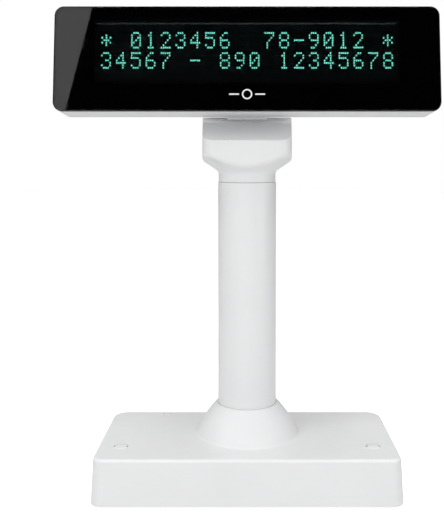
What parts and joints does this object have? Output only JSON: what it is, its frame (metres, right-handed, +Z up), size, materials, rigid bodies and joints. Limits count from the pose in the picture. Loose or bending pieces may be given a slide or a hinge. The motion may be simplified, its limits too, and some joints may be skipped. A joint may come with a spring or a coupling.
{
  "type": "customer pole display",
  "caption": "Wide dark display bar on a tilting and turning neck, on a plain round pole with a flared foot and a weighted oblong base.",
  "frame": {"origin": "centre of the footprint, on the surface the feet stand on", "axes": "+Z up along the pole, -Y towards the reader of the display, +X to that reader's right"},
  "size_m": [0.204, 0.075, 0.2556],
  "materials": {
    "white_plastic": "fine moulded texture, cool off-white",
    "smoked_acrylic": "polished dark smoke",
    "black_film": "printed matt black",
    "display_glass": "clear, slightly grey-green",
    "board_laminate": "green solder mask",
    "moulded_black": "moulded black",
    "zinc_steel": "zinc plated",
    "painted_ballast": "matt black paint",
    "tinned_leads": "tinned",
    "foot_rubber": "black",
    "lead_sheath": "grey PVC sheath",
    "natural_acetal": "natural, waxy"
  },
  "bodies": {
    "base": {"base_cover": "white_plastic", "anchor_cap_left": "white_plastic", "anchor_cap_right": "white_plastic", "rear_plug": "white_plastic", "pole_tube": "white_plastic", "base_plate": "zinc_steel", "ballast_block": "painted_ballast", "interface_board": "board_laminate", "data_socket": "moulded_black", "board_plug": "moulded_black", "pole_socket": "natural_acetal", "swivel_bush": "natural_acetal", "lead_pole": "lead_sheath", "foot_front_left": "foot_rubber", "foot_front_right": "foot_rubber", "foot_rear_left": "foot_rubber", "foot_rear_right": "foot_rubber", "cover_screw_1": "zinc_steel", "cover_screw_2": "zinc_steel", "cover_screw_3": "zinc_steel", "cover_screw_4": "zinc_steel", "board_screw_1": "zinc_steel", "board_screw_2": "zinc_steel", "flange_screw_1": "zinc_steel", "flange_screw_2": "zinc_steel", "flange_screw_3": "zinc_steel"},
    "neck": {"neck_housing": "white_plastic", "neck_rear_cover": "white_plastic", "neck_screw_left": "zinc_steel", "neck_screw_right": "zinc_steel", "retaining_clip": "zinc_steel", "wave_washer": "zinc_steel", "lead_neck": "lead_sheath"},
    "head": {"front_panel": "smoked_acrylic", "front_frame": "white_plastic", "window_mask": "black_film", "tube_lid_glass": "display_glass", "tube_base_glass": "display_glass", "tube_leads_top": "tinned_leads", "tube_leads_bottom": "tinned_leads", "control_board": "board_laminate", "control_board_screw_1": "zinc_steel", "control_board_screw_2": "zinc_steel", "processor_chip": "moulded_black", "driver_chip_left": "moulded_black", "driver_chip_right": "moulded_black", "converter_coil": "moulded_black", "head_plug": "moulded_black", "rear_shell": "white_plastic", "case_screw_1": "zinc_steel", "case_screw_2": "zinc_steel", "case_screw_3": "zinc_steel", "case_screw_4": "zinc_steel", "hinge_pin": "zinc_steel", "hinge_sleeve": "zinc_steel", "friction_washer_left": "zinc_steel", "friction_washer_right": "zinc_steel", "hinge_cap_left": "white_plastic", "hinge_cap_right": "white_plastic", "lead_head": "lead_sheath"}
  },
  "joints": [
    {"name": "head_swivel", "type": "hinge", "parent": "base", "child": "neck", "pos_m": [0, 0.0055, 0.1621], "axis": [0, 0, 1], "range_deg": [-165, 165]},
    {"name": "head_tilt", "type": "hinge", "parent": "neck", "child": "head", "pos_m": [0, 0.0155, 0.207], "axis": [-1, 0, 0], "range_deg": [-5, 30]}
  ]
}
